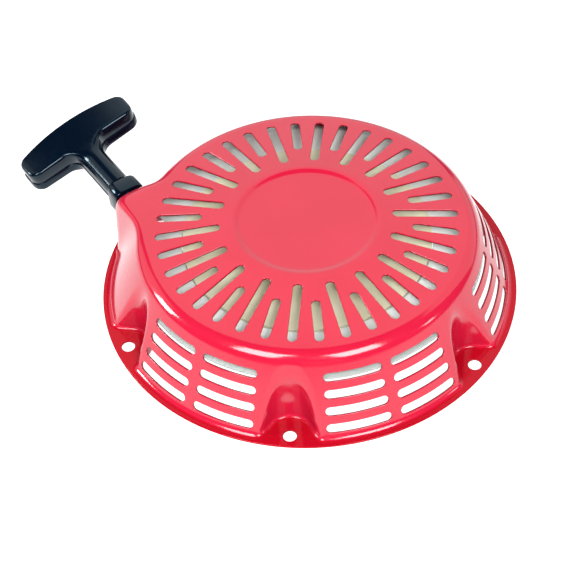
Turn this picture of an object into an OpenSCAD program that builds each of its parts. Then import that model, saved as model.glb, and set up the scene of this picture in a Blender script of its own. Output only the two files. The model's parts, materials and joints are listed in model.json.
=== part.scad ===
// Recoil (pull) starter for a small engine.
// Origin: centre of the flange's mounting face. +Z: crank axis, away from the engine.
// +X: the direction in which the rope is pulled.

/* [Case] */
// Outside diameter of the mounting flange
flange_d = 216; // [180:1:240]
// Thickness of the pressed sheet
sheet = 1.2; // [0.8:0.1:2]
// Radius at which the wall, drawn on down, would meet the mounting face
wall_foot_r = 104.7; // [90:0.1:110]
// Lean of the wall from upright, in degrees
wall_lean = 24.6; // [5:0.1:40]
// Height at which wall and top plate would meet
shoulder_z = 42; // [30:0.5:60]
// Rounding between wall and top plate
shoulder_r = 8; // [3:0.5:12]
// Fall of the domed top plate from the middle to the shoulder, in degrees
dome_fall = 6.7; // [0:0.1:15]
// Radius of the sunk disc in the middle of the top plate
disc_r = 37; // [20:0.5:42]
// Depth of the sunk disc
disc_depth = 1; // [0.5:0.1:4]

/* [Mounting holes] */
// Diameter of the circle the holes lie on
hole_circle_d = 202.4; // [170:0.1:230]
// Diameter of each hole, clearance for an M6 bolt
hole_d = 6.6; // [5:0.1:9]
// Angle of the first hole
hole_angle = 20; // [0:1:60]
// Radius of the recess that leaves room for the bolt head
recess_r = 12; // [9:0.5:15]

/* [Cooling slots] */
// Width of the slots in the top plate
top_slot_w = 4.6; // [3:0.1:6]
// Radius at which the top slots end
top_slot_out_r = 76.9; // [60:0.1:80]
// Radius at which the long top slots start
long_slot_in_r = 43.6; // [40:0.1:60]
// Radius at which the short top slots start
short_slot_in_r = 53.4; // [45:0.1:70]
// Width of the slots in the wall
side_slot_w = 4.5; // [3:0.1:6]
// Height of the middle of the lowest row of wall slots
side_row_z = 6.5; // [5:0.1:12]
// Height from one row of wall slots to the next
side_row_step = 8.3; // [6:0.1:12]

/* [Rope] */
// Diameter of the rope
rope_d = 5; // [4:0.1:6]
// Distance of the rope's line of pull from the crank axis
rope_y = 56.3; // [40:0.1:65]
// Height of the rope's line of pull
rope_z = 28; // [20:0.5:35]
// Turns of rope on the reel at rest
rope_turns = 3.9; // [2:0.1:5]
// Where the rope guide sits on the case
outlet_x = 82.5; // [75:0.5:90]

/* [Grip] */
// Length of the T-shaped grip
grip_len = 68; // [55:1:90]
// Depth of the grip's bar at its middle
grip_depth = 22.3; // [18:1:32]
// Height of the grip's bar
grip_h = 14.4; // [12:1:24]
// Distance from the crank axis to the case side of the bar
grip_x = 129; // [115:0.5:145]
// Turn of the grip about the rope, in degrees
grip_roll = -13; // [-30:1:30]

/* [Reel] */
// Outside diameter of the reel
reel_d = 127; // [110:1:140]
// Diameter of the post that the reel turns on
post_d = 20; // [16:0.5:24]

/* [Hidden] */
$fn = 48;
run_gap = 0.05;
eps = 0.01;

// case
flange_r = flange_d / 2;
hole_ring_r = hole_circle_d / 2;
shoulder_corner_r = wall_foot_r - shoulder_z * tan(wall_lean);
disc_edge_z = shoulder_z + (shoulder_corner_r - disc_r) * tan(dome_fall);
disc_z = disc_edge_z - disc_depth;
slot_pitch = 10;
panel_pitch = 60;
side_rows = 4;
side_slot_from = 1.5;
side_slot_to = 19.9;
nose_side_y = 69;
nose_far_y = 43;
nose_top_x = outlet_x - 4.5;
nose_corner_r = 7.5;
outlet_hole_r = 6.6;

// ring between the reel and the wall
air_guide_t = 1;
air_guide_gap = 0.4;
air_guide_in_z = 34.5;
air_guide_out_z = 30.2;
rope_notch_x = 50;
rope_notch_w = 9;

// stack of the working parts, from the top plate down
bracket_t = 1.5;
bracket_r = 30;
bracket_z = disc_z - sheet - bracket_t;
post_r = post_d / 2;
pilot_r = 6;
pilot_z = 11.5;
post_shoulder_z = 17;
well_top_z = 42.4;
web_z = 31.6;
web_t = 2;
well_r = 34.2;
well_wall = 2.2;
drum_r = 33.2;
drum_wall = 2.2;
reel_r = reel_d / 2;
reel_flange_z = 22.6;
reel_flange_t = 2;
deck_z = 19.6;
deck_r = 37;
rim_z = 36;
hub_z = 13.6;

// ratchets
pivot_r = 24;
pivot_pin_r = 3.5;
ratchet_z = 14.2;
ratchet_t = 5;
ratchet_lug = 9;
ratchet_lug_r = 1.8;
ratchet_reach = 19.2;
ratchet_dir = -81;
ratchet_swing = 28;
guide_turn = 30;
guide_z = 11.7;
guide_t = 1.5;
guide_r = 35;
washer_t = 1.2;
washer_r = 10;
screw_r = 3;

// rope
rope_r = rope_d / 2;
coil_step = 5.15;
coil_out_r = rope_y;
rings_per_turn = 20;
coil_rings = round(rope_turns * rings_per_turn);
coil_end_angle = 90 + 360 * coil_rings / rings_per_turn;
lead_from = 0.6;
knot_r = 29;
knot_turn = 16;
guide_len = 12;
guide_half = 8.4;
stem_half = 7.3;
stem_half_h = 6.2;
grip_start = outlet_x + guide_len + 0.2;
knot_x = grip_x + 12.5;
insert_t = 1.5;

// ---------------------------------------------------------------- helpers
function unit(v) = v / norm(v);
function polar(r, a) = [r * cos(a), r * sin(a)];
function arc(centre, r, from, to, steps) =
    [for (i = [0:steps]) centre + polar(r, from + (to - from) * i / steps)];
function short_turn(a) = a > 180 ? a - 360 : a < -180 ? a + 360 : a;

// The arc of radius r that rounds the corner at b on the way from a to c
function corner(a, b, c, r, steps) =
    let (u = unit(a - b), v = unit(c - b), half = acos(u * v) / 2,
         centre = b + unit(u + v) * r / sin(half),
         from = b + u * r / tan(half) - centre, to = b + v * r / tan(half) - centre,
         start = atan2(from.y, from.x), turn = short_turn(atan2(to.y, to.x) - start))
    arc(centre, r, start, start + turn, steps);

// An outline with each corner rounded by its own radius
function rounded(points, radii, steps = 5) =
    let (n = len(points))
    [for (i = [0:n - 1])
        each radii[i] <= 0 ? [points[i]]
            : corner(points[(i + n - 1) % n], points[i], points[(i + 1) % n], radii[i], steps)];

// A slot outline along x, with round ends
function slot_outline(from, to, width) =
    concat(arc([to - width / 2, 0], width / 2, -90, 90, 6),
           arc([from + width / 2, 0], width / 2, 90, 270, 6));

// Round wire or rope along a path that stays close to level; r is one radius or one per point
module swept(path, r, sides = 10) {
    n = len(path);
    function along(i) = unit(path[min(i + 1, n - 1)] - path[max(i - 1, 0)]);
    function side(i) = unit(cross(along(i), [0, 0, 1]));
    function radius(i) = is_list(r) ? r[i] : r;
    points = [for (i = [0:n - 1], k = [0:sides - 1])
        path[i] + radius(i) * (cos(360 * k / sides) * side(i)
            + sin(360 * k / sides) * cross(side(i), along(i)))];
    walls = [for (i = [0:n - 2], k = [0:sides - 1])
        let (a = i * sides + k, b = i * sides + (k + 1) % sides)
        each [[a, b, b + sides], [a, b + sides, a + sides]]];
    ends = [[for (k = [sides - 1:-1:0]) k], [for (k = [0:sides - 1]) (n - 1) * sides + k]];
    polyhedron(points, concat(walls, ends), convexity = 6);
}

module ring(outer, inner, from, to) {
    translate([0, 0, from]) difference() {
        cylinder(r = outer, h = to - from);
        translate([0, 0, -1]) cylinder(r = inner, h = to - from + 2);
    }
}

module along_rope(x) {
    translate([x, rope_y, rope_z]) rotate([0, 90, 0]) children();
}

// ---------------------------------------------------------------- case
function wall_r(z) = wall_foot_r - z * tan(wall_lean);

// Half section of the dome, moved in by a distance
function dome_section(inset, foot) =
    let (side = inset / cos(wall_lean), top = inset / cos(dome_fall),
         drop = tan(dome_fall), lean = tan(wall_lean),
         cr = (wall_foot_r - side - lean * (shoulder_z - top + shoulder_corner_r * drop))
              / (1 - lean * drop),
         cz = shoulder_z - top + (shoulder_corner_r - cr) * drop,
         foot_p = [wall_r(foot) - side, foot], corner_p = [cr, cz],
         ridge_p = [disc_r, disc_edge_z - top])
    concat([[0, foot], foot_p],
           corner(foot_p, corner_p, ridge_p, shoulder_r - inset, 6),
           [ridge_p, [disc_r - disc_depth, disc_z - inset], [0, disc_z - inset]]);

module dome(inset, foot) {
    rotate_extrude($fn = 180) polygon(dome_section(inset, foot));
}

// The bulge that carries the rope guide: near upright, square to the rope
module nose_slab(x, y, z, inset) {
    outline = rounded([[44, 62], [46, y + 2 - inset], [x - inset, y - inset],
                       [x - inset, nose_far_y + inset], [66, 36 + inset], [44, 36 + inset]],
                      [0, 4, nose_corner_r - inset, 3, 0, 0]);
    translate([0, 0, z]) linear_extrude(0.1) polygon(outline);
}

module nose(inset) {
    hull() {
        nose_slab(outlet_x, nose_side_y + 0.8, sheet - inset, inset);
        nose_slab(outlet_x, nose_side_y, 32, inset);
        nose_slab(nose_top_x, nose_side_y - 2.4, 40.6 - inset, inset);
    }
}

// Plan of the recess round one mounting hole; x points away from the crank axis
module recess_plan(grow) {
    r = recess_r + grow;
    mouth = flange_r + 4 - hole_ring_r;
    back = arc([0, 0], r, 120, 240, 10);
    half = back[0].y + (mouth - back[0].x) * tan(30);
    polygon(concat(back, [[mouth, -half], [mouth, half]]));
}

module at_holes() {
    for (i = [0:5])
        rotate(hole_angle + i * panel_pitch) translate([hole_ring_r, 0, 0]) children();
}

module recesses(grow, from) {
    at_holes() translate([0, 0, from]) linear_extrude(disc_edge_z) recess_plan(grow);
}

module top_slots() {
    for (i = [0:35])
        rotate(i * slot_pitch) translate([0, 0, shoulder_z - 5])
            linear_extrude(14)
                polygon(slot_outline(i % 2 == 0 ? long_slot_in_r : short_slot_in_r,
                                     top_slot_out_r, top_slot_w));
}

// One wall slot, cut square to the wall; it bends with the wall's own round
module side_slot(z) {
    r = wall_r(z);
    half = (side_slot_to - side_slot_from) / 2;
    w = side_slot_w / 2;
    reach = half - w / r * 180 / PI;
    function bow(a) = r * (1 - cos(a)) * sin(wall_lean);
    upper = [for (a = [-reach:reach / 3:reach]) [r * sin(a), w - bow(a)]];
    lower = [for (a = [reach:-reach / 3:-reach]) [r * sin(a), -w - bow(a)]];
    right = arc([r * sin(reach), -bow(reach)], w, 60, -60, 4);
    left = arc([-r * sin(reach), -bow(reach)], w, 240, 120, 4);
    translate([r, 0, z]) rotate([0, 90 - wall_lean, 0]) rotate([0, 0, 90])
        translate([0, 0, -4]) linear_extrude(9) polygon(concat(upper, right, lower, left));
}

module side_slots() {
    middle = (side_slot_from + side_slot_to) / 2;
    for (panel = [1:5], row = [0:side_rows - 1], side = [-1, 1])
        rotate(hole_angle + 30 + panel * panel_pitch + side * middle)
            side_slot(side_row_z + row * side_row_step);
}

module starter_case() {
    color("crimson") difference() {
        union() {
            cylinder(r = flange_r, h = sheet, $fn = 180);
            difference() {
                union() {
                    dome(0, 0);
                    nose(0);
                }
                recesses(0, sheet);
            }
        }
        difference() {
            union() {
                dome(sheet, -1);
                nose(sheet);
            }
            recesses(sheet, -2);
        }
        at_holes() translate([0, 0, -1]) cylinder(r = hole_d / 2, h = sheet + 2);
        along_rope(outlet_x - 8) cylinder(r = outlet_hole_r, h = 16);
        top_slots();
        side_slots();
    }
}

// ---------------------------------------------------------------- air guide
// Thin cone-shaped ring between the reel and the wall, notched where the rope passes under it
module air_guide() {
    inner = reel_r + air_guide_gap;
    outer = wall_r(air_guide_out_z) - sheet / cos(wall_lean) - run_gap;
    color("gainsboro") difference() {
        rotate_extrude($fn = 120)
            polygon([[inner, air_guide_in_z], [outer, air_guide_out_z],
                     [outer, air_guide_out_z - air_guide_t], [inner, air_guide_in_z - air_guide_t]]);
        recesses(sheet + 0.1, 0);
        translate([rope_notch_x, rope_y - rope_notch_w / 2, 0])
            cube([flange_r - rope_notch_x, rope_notch_w, air_guide_in_z + 1]);
    }
}

// ---------------------------------------------------------------- spindle
module spindle_bracket() {
    color("silver") difference() {
        ring(bracket_r, post_r - 3, bracket_z, bracket_z + bracket_t);
        for (i = [0:5])
            rotate(i * 60) translate([bracket_r - 7, 0, bracket_z - 1])
                cylinder(r = 2.5, h = bracket_t + 2);
    }
}

module spindle_post() {
    slot_from = web_z + web_t;
    color("gainsboro") difference() {
        union() {
            translate([0, 0, post_shoulder_z])
                cylinder(r = post_r, h = bracket_z - post_shoulder_z);
            translate([0, 0, bracket_z - 1])
                cylinder(r = post_r - 3 - eps, h = bracket_t + 0.9);
            translate([0, 0, pilot_z]) cylinder(r = pilot_r, h = post_shoulder_z - pilot_z + 1);
        }
        translate([0, 0, pilot_z - 1]) cylinder(r = screw_r + run_gap, h = 20);
        translate([post_r - 4, -0.7, slot_from]) cube([6, 1.4, bracket_z - slot_from - 0.3]);
    }
}

// ---------------------------------------------------------------- mainspring
// Flat spiral strip; its inner end is hooked in the post, its outer end in the reel
module mainspring() {
    turns = 7;
    per_turn = 20;
    strip = 0.6;
    inner = 12.2;
    outer = 32.6;
    hook_out = 36;
    steps = turns * per_turn;
    function mid(i) = inner + (outer - inner) * i / steps;
    edge_in = [for (i = [0:steps]) polar(mid(i) - strip / 2, 360 * i / per_turn)];
    edge_out = [for (i = [steps:-1:0]) polar(mid(i) + strip / 2, 360 * i / per_turn)];
    tail = [[outer - strip / 2, strip], [hook_out, strip], [hook_out, 0]];
    head = [[inner + strip / 2, -strip / 2], [post_r - 3, -strip / 2],
            [post_r - 3, strip / 2], [inner - strip / 2, strip / 2]];
    color("dimgray") translate([0, 0, web_z + web_t + 0.4])
        linear_extrude(well_top_z - web_z - web_t - 0.7)
            polygon(concat([for (i = [1:steps]) edge_in[i]], tail, edge_out, head));
}

// ---------------------------------------------------------------- reel
module reel_section() {
    hub_r = post_r + run_gap;
    wall_out = well_r + well_wall;
    polygon([
        [hub_r, hub_z], [hub_r + 3.4, hub_z], [hub_r + 3.4, deck_z], [deck_r, deck_z],
        [deck_r, reel_flange_z], [reel_r, reel_flange_z],
        [reel_r, reel_flange_z + reel_flange_t], [drum_r, reel_flange_z + reel_flange_t],
        [drum_r, web_z], [wall_out, web_z], [wall_out, rim_z - web_t], [reel_r, rim_z - web_t],
        [reel_r, rim_z], [wall_out, rim_z], [wall_out, well_top_z], [well_r, well_top_z],
        [well_r, web_z + web_t], [hub_r, web_z + web_t]
    ]);
}

module reel() {
    pocket_out = drum_r - drum_wall;
    pocket_in = post_r + 3.5;
    color("ivory") difference() {
        union() {
            rotate_extrude($fn = 96) reel_section();
            for (a = [0, 180])
                rotate(a) translate([pivot_r, 0, ratchet_z])
                    cylinder(r = pivot_pin_r, h = deck_z - ratchet_z + 1);
        }
        // hollow drum, open towards the engine between its six spokes
        for (i = [0:5])
            rotate(coil_end_angle + knot_turn + i * 60) translate([0, 0, deck_z - 1])
                linear_extrude(web_z - deck_z + 0.8)
                    polygon(concat(arc([0, 0], pocket_out, -13, 13, 4),
                                   arc([0, 0], pocket_in + 1, 13, -13, 3)));
        // notch for the outer end of the mainspring
        translate([well_r - 1, -0.6, web_z + web_t + eps]) cube([5, 2, 20]);
        // way through the drum for the end of the rope
        rotate(coil_end_angle + 9)
            translate([pocket_out - 3, -5, reel_flange_z + reel_flange_t + 0.4])
                cube([8, 10, web_z - reel_flange_z - reel_flange_t - 0.8]);
    }
}

// ---------------------------------------------------------------- ratchets
module ratchet_plan() {
    tip = polar(ratchet_reach, ratchet_dir);
    heel = 6;
    side = polar(1, ratchet_dir + 90);
    polygon(concat(arc([0, 0], heel, ratchet_dir + 90, ratchet_dir + 270, 10),
                   [polar(8, ratchet_dir) - 4.6 * side, tip - 3.4 * side, tip + 1.2 * side,
                    polar(10, ratchet_dir) + 3.4 * side]));
}

// One steel ratchet with its pivot at the middle
module ratchet() {
    difference() {
        union() {
            translate([0, 0, ratchet_z + 2.1]) linear_extrude(ratchet_t - 2.1) ratchet_plan();
            difference() {
                translate([0, 0, ratchet_z]) linear_extrude(ratchet_t) ratchet_plan();
                translate([0, 0, ratchet_z - 1]) cylinder(r = 6.6, h = 3.1);
            }
            translate([each polar(ratchet_lug, ratchet_dir), guide_z + 0.1])
                cylinder(r = ratchet_lug_r, h = ratchet_z - guide_z + 2);
        }
        translate([0, 0, ratchet_z - 1])
            cylinder(r = pivot_pin_r + run_gap, h = ratchet_t + 2);
    }
}

module ratchet_a() {
    color("slategray") translate([pivot_r, 0, 0]) ratchet();
}

module ratchet_b() {
    color("slategray") rotate(180) translate([pivot_r, 0, 0]) ratchet();
}

// Light wire spring round the ratchet's pivot
module ratchet_spring() {
    wire = 0.35;
    coil_r = 4.35;
    turns = 2;
    path = [for (i = [0:turns * 12])
        [each polar(coil_r, 200 + 30 * i), ratchet_z + wire + 0.02 + 1.25 * i / (turns * 12)]];
    leg = [each polar(coil_r, 200) + polar(1.6, 110), ratchet_z + wire + 0.02];
    translate([pivot_r, 0, 0]) swept(concat([leg], path), wire, 6);
}

module ratchet_spring_a() {
    color("lightsteelblue") ratchet_spring();
}

module ratchet_spring_b() {
    color("lightsteelblue") rotate(180) ratchet_spring();
}

// Where the ratchet's lug stands, seen from the guide plate, part of the way out
function lug_seen(share) =
    let (p = [pivot_r, 0] + polar(ratchet_lug, ratchet_dir + ratchet_swing * share))
    polar(norm(p), atan2(p.y, p.x) - guide_turn * share);

module cam_slot() {
    wide = ratchet_lug_r + 0.5;
    steps = 6;
    path = [for (i = [0:steps]) lug_seen(i / steps)];
    function along(i) = unit(path[min(i + 1, steps)] - path[max(i - 1, 0)]);
    function off(i) = wide * [-along(i).y, along(i).x];
    back = atan2(-along(0).y, -along(0).x);
    front = atan2(along(steps).y, along(steps).x);
    polygon(concat(arc(path[0], wide, back - 90, back + 90, 8),
                   [for (i = [1:steps - 1]) path[i] - off(i)],
                   arc(path[steps], wide, front - 90, front + 90, 8),
                   [for (i = [steps - 1:-1:1]) path[i] + off(i)]));
}

module ratchet_guide() {
    color("darkgray") translate([0, 0, guide_z]) difference() {
        cylinder(r = guide_r, h = guide_t);
        for (a = [0, 180])
            rotate(a) {
                translate([0, 0, -1]) linear_extrude(guide_t + 2) cam_slot();
                translate([-guide_r, 24, -1]) cube([2 * guide_r, guide_r, guide_t + 2]);
            }
        translate([0, 0, -1]) cylinder(r = pilot_r + run_gap, h = guide_t + 2);
    }
}

module friction_spring() {
    wire = 0.5;
    turns = 2;
    from = guide_z + guide_t + wire + 0.02;
    rise = post_shoulder_z - wire - 0.02 - from;
    color("silver") swept([for (i = [0:turns * 16])
        [each polar(7.6, 22.5 * i), from + rise * i / (turns * 16)]], wire, 8);
}

module thrust_washer() {
    color("silver") ring(washer_r, screw_r + run_gap, pilot_z - washer_t, pilot_z);
}

module setting_screw() {
    head_t = 4;
    top = pilot_z - washer_t;
    color("goldenrod") difference() {
        union() {
            translate([0, 0, top - eps]) cylinder(r = screw_r, h = 16);
            translate([0, 0, top - head_t]) cylinder(r = 5.8, h = head_t, $fn = 6);
            translate([0, 0, top - 1]) cylinder(r = 7, h = 1);
        }
        translate([0, 0, top - head_t - 1]) cylinder(r = 3, h = 2);
    }
}

// ---------------------------------------------------------------- rope
function coil_point(i) =
    [each polar(coil_out_r - coil_step * i / rings_per_turn, 90 + 360 * i / rings_per_turn),
     rope_z];

module rope_coil() {
    start = coil_point(0) + [lead_from, 0, 0];
    color("linen") swept(concat([start], [for (i = [0:coil_rings]) coil_point(i)]), rope_r, 10);
}

// Straight run from the reel, through the guide and the grip's stem, to the knot
module rope_lead() {
    from = lead_from + 0.02;
    color("linen") along_rope(from) cylinder(r = rope_r, h = knot_x - 0.02 - from);
}

// The rope's inner end turns in through the drum and ends in a knot
module rope_reel_knot() {
    onward = unit(coil_point(coil_rings) - coil_point(coil_rings - 1));
    from = coil_point(coil_rings) + 0.02 * onward;
    bend = from + 5 * onward;
    inward = [each polar(1, coil_end_angle + knot_turn), 0];
    end = [0, 0, rope_z] + knot_r * inward;
    steps = 6;
    curve = [for (i = [0:steps]) let (s = i / steps)
        (1 - s) ^ 2 * (from + 0.6 * onward) + 2 * s * (1 - s) * bend + s ^ 2 * end];
    bulge = [2.9, 3.2, 3.3, 3.2, 2.8, 1.6];
    knot = [for (i = [0:len(bulge) - 1]) end - (i + 1) * 1.1 * inward];
    plain = [for (i = [0:steps + 1]) rope_r];
    color("linen") swept(concat([from], curve, knot), concat(plain, bulge), 10);
}

module rope_handle_knot() {
    color("linen") along_rope(knot_x) {
        cylinder(r = rope_r, h = 3);
        translate([0, 0, 4.4]) sphere(r = 4.2);
    }
}

// ---------------------------------------------------------------- rope guide
module rounded_block(half, corner_r, from, to) {
    h = half;
    outline = rounded([[h, h], [-h, h], [-h, -h], [h, -h]],
                      [corner_r, corner_r, corner_r, corner_r], 4);
    translate([0, 0, from]) linear_extrude(to - from) polygon(outline);
}

module rope_guide() {
    lip = 3;
    color([0.03, 0.06, 0.1]) along_rope(outlet_x) difference() {
        union() {
            hull() {
                rounded_block(guide_half, 4, eps, guide_len - lip);
                rounded_block(guide_half - 2, 3, eps, guide_len);
            }
            translate([0, 0, -sheet - 3]) cylinder(r = outlet_hole_r - run_gap, h = sheet + 4);
            translate([0, 0, -sheet - 4.8]) cylinder(r = 7.2, h = 2.4);
        }
        translate([0, 0, -10]) cylinder(r = rope_r + 0.5, h = 40);
    }
}

// ---------------------------------------------------------------- grip
// Plan of the bar with its bowed outer side; x is along the rope, y along the bar
function bar_plan(inset) =
    let (half = grip_len / 2 - inset, bow = 5.5,
         bow_r = (half ^ 2 + bow ^ 2) / (2 * bow), outer = grip_depth - inset,
         span = asin(half / bow_r) * 0.93)
    concat([[inset + 2, half], [inset, half - 2]], [[inset, 2 - half], [inset + 2, -half]],
           [[outer - bow - 1.6, -half]],
           arc([outer - bow_r, 0], bow_r, -span, span, 10),
           [[outer - bow - 1.6, half]]);

module bar() {
    hull() {
        translate([0, 0, -grip_h / 2]) linear_extrude(grip_h) polygon(bar_plan(3));
        translate([0, 0, 4 - grip_h / 2]) linear_extrude(grip_h - 8) polygon(bar_plan(0));
    }
}

// Stem and the flare that joins it to the bar
module stem() {
    reach = grip_x - grip_start;
    flare = 7;
    plan = concat([[-reach, -stem_half], [-reach + 1, -stem_half]],
                  arc([-flare, -stem_half - 1 - flare], flare, 90, 0, 5),
                  [[3, -stem_half - flare], [3, stem_half + flare]],
                  arc([-flare, stem_half + 1 + flare], flare, 0, -90, 5),
                  [[-reach + 1, stem_half], [-reach, stem_half]]);
    translate([0, 0, -stem_half_h]) linear_extrude(2 * stem_half_h) polygon(plan);
}

module grip() {
    color([0.03, 0.06, 0.1]) translate([grip_x, rope_y, rope_z]) rotate([grip_roll, 0, 0])
        difference() {
            union() {
                bar();
                stem();
            }
            translate([-60, 0, 0]) rotate([0, 90, 0]) cylinder(r = rope_r + 0.4, h = 120);
            translate([knot_x - grip_x - insert_t, 0, 0]) rotate([0, 90, 0])
                cylinder(r = 6.2, h = 40);
        }
}

// Steel washer in the grip's pocket that the knot pulls against
module grip_insert() {
    color("silver") along_rope(knot_x - insert_t) difference() {
        cylinder(r = 6.1, h = insert_t - 0.02);
        translate([0, 0, -1]) cylinder(r = rope_r + 0.4, h = insert_t + 2);
    }
}

starter_case();
air_guide();
spindle_bracket();
spindle_post();
mainspring();
reel();
ratchet_a();
ratchet_b();
ratchet_spring_a();
ratchet_spring_b();
ratchet_guide();
friction_spring();
thrust_washer();
setting_screw();
rope_coil();
rope_lead();
rope_reel_knot();
rope_handle_knot();
rope_guide();
grip();
grip_insert();
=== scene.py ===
"""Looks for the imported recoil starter, in metres.

+X is the way the rope is pulled, and +Z points away from the engine.
"""

import json
import math

import bmesh
import bpy
import numpy as np
from mathutils import Matrix, Vector
from mathutils.geometry import delaunay_2d_cdt


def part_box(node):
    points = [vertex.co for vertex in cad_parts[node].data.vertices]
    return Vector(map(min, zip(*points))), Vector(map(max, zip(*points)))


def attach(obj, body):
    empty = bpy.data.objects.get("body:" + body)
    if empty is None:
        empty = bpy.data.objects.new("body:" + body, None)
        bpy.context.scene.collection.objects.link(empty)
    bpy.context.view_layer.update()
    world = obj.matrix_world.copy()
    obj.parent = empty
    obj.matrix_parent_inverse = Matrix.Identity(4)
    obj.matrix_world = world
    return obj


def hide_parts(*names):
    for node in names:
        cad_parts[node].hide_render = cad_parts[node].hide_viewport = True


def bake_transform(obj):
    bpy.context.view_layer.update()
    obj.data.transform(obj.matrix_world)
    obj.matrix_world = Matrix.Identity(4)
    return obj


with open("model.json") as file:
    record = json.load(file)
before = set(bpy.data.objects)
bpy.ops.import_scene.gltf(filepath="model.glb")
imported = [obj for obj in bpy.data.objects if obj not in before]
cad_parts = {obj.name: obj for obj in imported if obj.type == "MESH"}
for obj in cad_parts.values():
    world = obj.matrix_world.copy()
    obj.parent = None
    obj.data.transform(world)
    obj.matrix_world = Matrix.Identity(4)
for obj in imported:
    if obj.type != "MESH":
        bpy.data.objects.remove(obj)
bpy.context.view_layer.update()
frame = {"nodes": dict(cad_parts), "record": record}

# ------------------------------------------------------------------ sizes
MM = 0.001
case_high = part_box("starter_case")[1]
guide_low, guide_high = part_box("rope_guide")
grip_low, grip_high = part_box("grip")
lead_low, lead_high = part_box("rope_lead")
insert_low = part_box("grip_insert")[0]
bolts = next(m for m in frame["record"]["mounts"] if m["name"] == "flange_bolts")["dims"]

# pressed case
FLANGE_R = case_high.y
HOLE_RING_R = bolts["pcd_mm"] / 2 * MM
HOLE_R = bolts["hole_r_mm"] * MM
HOLE_COUNT = bolts["count"]
HOLE_ANGLE = 20.0
PERIOD = 360.0 / HOLE_COUNT
SHEET = 1.2 * MM
EDGE = 0.4 * MM
WALL_FOOT_R = 104.7 * MM
WALL_LEAN = math.radians(24.6)
SHOULDER_Z = 42.0 * MM
SHOULDER_R = WALL_FOOT_R - SHOULDER_Z * math.tan(WALL_LEAN)
DOME_FALL = math.radians(6.7)
DISC_R = 38.2 * MM
DISC_STEP = 4.8 * MM
DISC_DEPTH = 0.9 * MM
RIM_LIP = 0.7 * MM

# bolt recesses
RECESS_R = 12.0 * MM
RECESS_FLARE = math.radians(30.0)
RIDGE = 2.6 * MM

# cooling slots; the side slots run from and to so many degrees from the middle of their panel
TOP_SLOT_COUNT = 36
TOP_SLOT_HALF = 2.3 * MM
TOP_SLOT_OUT = 76.9 * MM
LONG_SLOT_IN = 43.6 * MM
SHORT_SLOT_IN = 53.4 * MM
SIDE_SLOT_HALF = 2.25 * MM
SIDE_SLOT_FROM = 1.5
SIDE_SLOT_TO = 19.9
SIDE_CELLS_FROM = 0.6
SIDE_ROW_LOW = 6.5 * MM
SIDE_ROW_STEP = 8.3 * MM
SIDE_ROWS = [SIDE_ROW_LOW + SIDE_ROW_STEP * row for row in range(4)]

# rope and nose; a draft is how far a face leans in over the height of the wall
ROPE_Y = (lead_low.y + lead_high.y) / 2
ROPE_Z = (lead_low.z + lead_high.z) / 2
ROPE_R = (lead_high.z - lead_low.z) / 2
GUIDE_LEN = 12.0 * MM
OUTLET_X = guide_high.x - GUIDE_LEN
OUTLET_HOLE_R = 6.6 * MM
NOSE_SIDE_Y = 69.8 * MM
NOSE_SIDE_TURN = math.radians(3.0)
NOSE_SIDE_DRAFT = 2.6 * MM
NOSE_FACE_DRAFT = 10.0 * MM
NOSE_FAR_Y = 43.0 * MM
NOSE_FAR_BLEND = 8.0 * MM
NOSE_START_X = 30.0 * MM
NOSE_CORNER = 7.0 * MM
NOSE_BLEND = 5.0 * MM
# reach of the shoulder's rounding round the case, by angle: tight at the nose, soft elsewhere
CREASE_ANGLES = [0, 28, 36, 41, 45, 50, 58, 68, 80]
CREASE_REACH = [4.5 * MM, 4.5 * MM, 4.6 * MM, 3.6 * MM, 2.4 * MM, 2.0 * MM, 2.6 * MM, 4.5 * MM, 4.5 * MM]


# ------------------------------------------------------------------ small helpers
def unit(v):
    """Vectors scaled to a length of one."""
    return v / np.maximum(np.linalg.norm(v, axis=-1, keepdims=True), 1e-12)


def smooth_max(a, b, k):
    """The larger of a and b, with the corner between them rounded over about k."""
    h = np.clip(0.5 + 0.5 * (a - b) / k, 0, 1)
    return b + (a - b) * h + k * h * (1 - h)


def smooth_min(a, b, k):
    """The smaller of a and b, with the corner rounded in the same way."""
    return -smooth_max(-a, -b, k)


def ease(x, low, high):
    """0 below low, 1 above high and a smooth rise between them."""
    t = np.clip((x - low) / (high - low), 0, 1)
    return t * t * (3 - 2 * t)


def arc(centre, r, start, end, steps):
    """Points on a plan arc; angles in degrees."""
    turn = np.radians(np.linspace(start, end, steps + 1))
    return np.stack([centre[0] + r * np.cos(turn), centre[1] + r * np.sin(turn)], 1)


def outward(outline):
    """Outward directions along a closed outline that runs anticlockwise."""
    along = unit(np.roll(outline, -1, 0) - np.roll(outline, 1, 0))
    return np.stack([along[:, 1], -along[:, 0]], 1)


def within(polygon, spots):
    """Which spots lie inside a closed outline."""
    a, b = polygon, np.roll(polygon, -1, 0)
    x, y = spots[:, 0][:, None], spots[:, 1][:, None]
    crosses = (a[:, 1] > y) != (b[:, 1] > y)
    rise = np.where(a[:, 1] == b[:, 1], 1, b[:, 1] - a[:, 1])
    at = a[:, 0] + (y - a[:, 1]) * (b[:, 0] - a[:, 0]) / rise
    return (crosses & (x < at)).sum(1) % 2 == 1


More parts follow.
